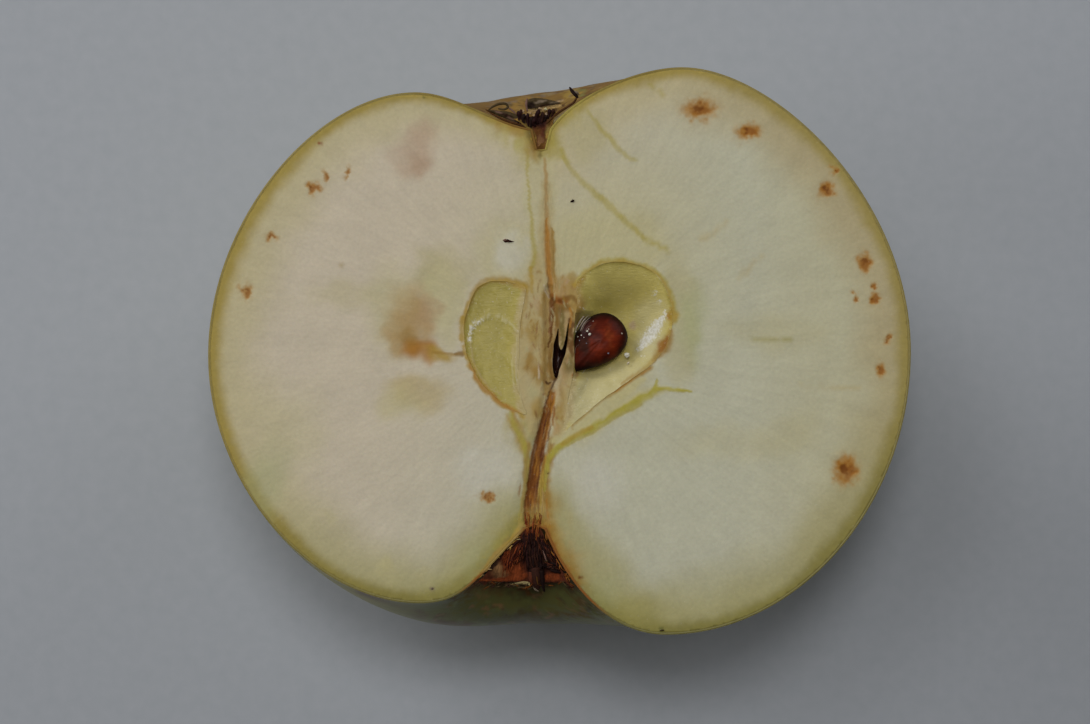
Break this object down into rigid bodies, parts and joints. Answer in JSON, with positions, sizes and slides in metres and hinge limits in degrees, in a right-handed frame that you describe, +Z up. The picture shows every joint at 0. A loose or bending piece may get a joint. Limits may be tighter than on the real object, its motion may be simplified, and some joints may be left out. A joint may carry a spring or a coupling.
{
  "type": "apple half",
  "caption": "Half of a squat green-yellow cooking apple, cut from calyx to stalk, lying on its round back with its core, seed chambers and a brown pip showing.",
  "frame": {"origin": "middle of the half's footprint, on the plane that it rests on", "axes": "+Z up, square to the cut face; +Y from the stalk end to the calyx end; +X across the fruit to its larger cheek"},
  "size_m": [0.0721, 0.0585, 0.0346],
  "materials": {
    "flesh": "moist cut flesh with a satin yellow-green skin on its back",
    "pip": "glossy mahogany seed coat",
    "stalk_cork": "dark, dry and fibrous",
    "dried_calyx": "dry, brown and papery"
  },
  "bodies": {
    "root": {"apple_half": "flesh", "pip": "pip", "stalk_foot": "stalk_cork", "dried_calyx": "dried_calyx"}
  },
  "joints": []
}
